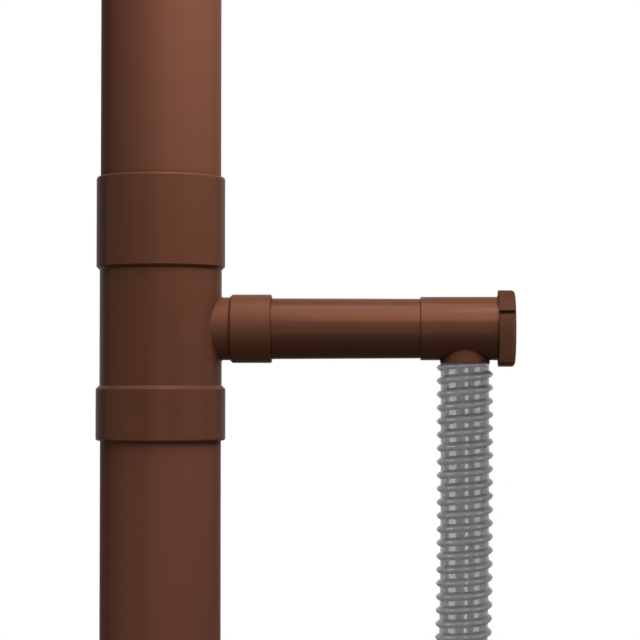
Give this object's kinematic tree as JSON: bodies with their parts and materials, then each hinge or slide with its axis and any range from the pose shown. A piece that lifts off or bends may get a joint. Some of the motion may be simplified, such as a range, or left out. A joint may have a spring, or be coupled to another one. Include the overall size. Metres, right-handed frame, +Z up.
{
  "type": "rainwater diverter",
  "caption": "Round downpipe diverter with an inner gutter ring, a side arm, a hanging ridged hose and a screw cap on the arm's end.",
  "frame": {"origin": "centre of the upper downpipe's top end", "axes": "+Z up along the downpipe, +X along the side arm away from the pipe, -Y the side shown in the picture"},
  "size_m": [0.3467, 0.1074, 0.8299],
  "materials": {
    "pipe_pvc": "extruded brown PVC, satin",
    "fitting_pvc": "moulded brown PVC, satin",
    "ring_pvc": "moulded brown PVC, satin",
    "arm_pvc": "moulded red-brown PVC, satin",
    "cap_pvc": "moulded brown PVC, matt",
    "seal_rubber": "black sealing rubber",
    "hose_pvc": "soft grey PVC, satin"
  },
  "bodies": {
    "diverter": {"upper_downpipe": "pipe_pvc", "lower_downpipe": "pipe_pvc", "diverter_body": "fitting_pvc", "collector_ring": "ring_pvc", "arm_tube": "arm_pvc", "outlet_tee": "arm_pvc", "drain_hose": "hose_pvc"},
    "seal": {"cap_seal": "seal_rubber"},
    "cap": {"end_cap": "cap_pvc"}
  },
  "joints": [
    {"name": "cap_travel", "type": "slide", "parent": "diverter", "child": "seal", "axis": [1, 0, 0], "range_m": [0, 0.009]},
    {"name": "cap_turn", "type": "hinge", "parent": "seal", "child": "cap", "pos_m": [0.2794, 0, -0.3], "axis": [1, 0, 0], "range_deg": [0, 1080]}
  ],
  "couplings": [
    {"joint": "cap_travel", "follows": "cap_turn", "m_per_rad": 0.00047746}
  ]
}
